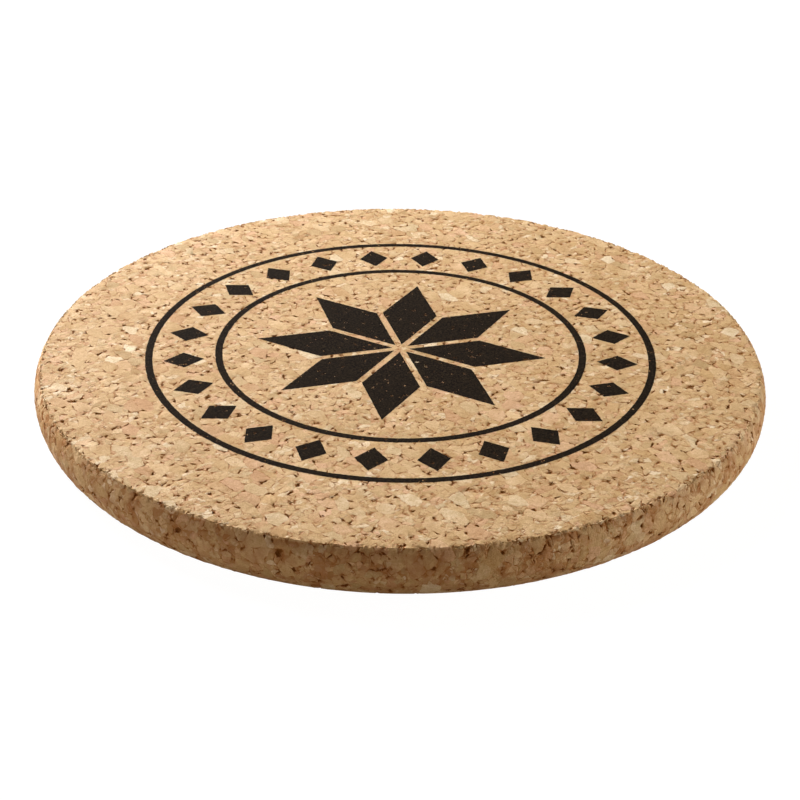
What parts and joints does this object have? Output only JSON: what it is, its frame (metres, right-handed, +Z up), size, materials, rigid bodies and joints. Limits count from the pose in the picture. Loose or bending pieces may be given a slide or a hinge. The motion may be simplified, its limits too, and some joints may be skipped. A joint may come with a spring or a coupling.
{
  "type": "trivet",
  "caption": "Round slab of pressed cork with a bulging rim and a printed ornament on its flat top, for standing hot pots and dishes on a table.",
  "frame": {"origin": "centre of the underside, where the slab meets the table", "axes": "+Z up along the slab's axis; +X and +Y lie along two tips of the printed star"},
  "size_m": [0.2, 0.2, 0.015],
  "materials": {
    "cork": "agglomerated cork, pressed granules, sanded, unsealed",
    "ink": "matte black printing ink, soaked into the cork"
  },
  "bodies": {
    "root": {"cork_disc": "cork", "print_outer_ring": "ink", "print_lozenges": "ink", "print_inner_ring": "ink", "print_star": "ink"}
  },
  "joints": []
}
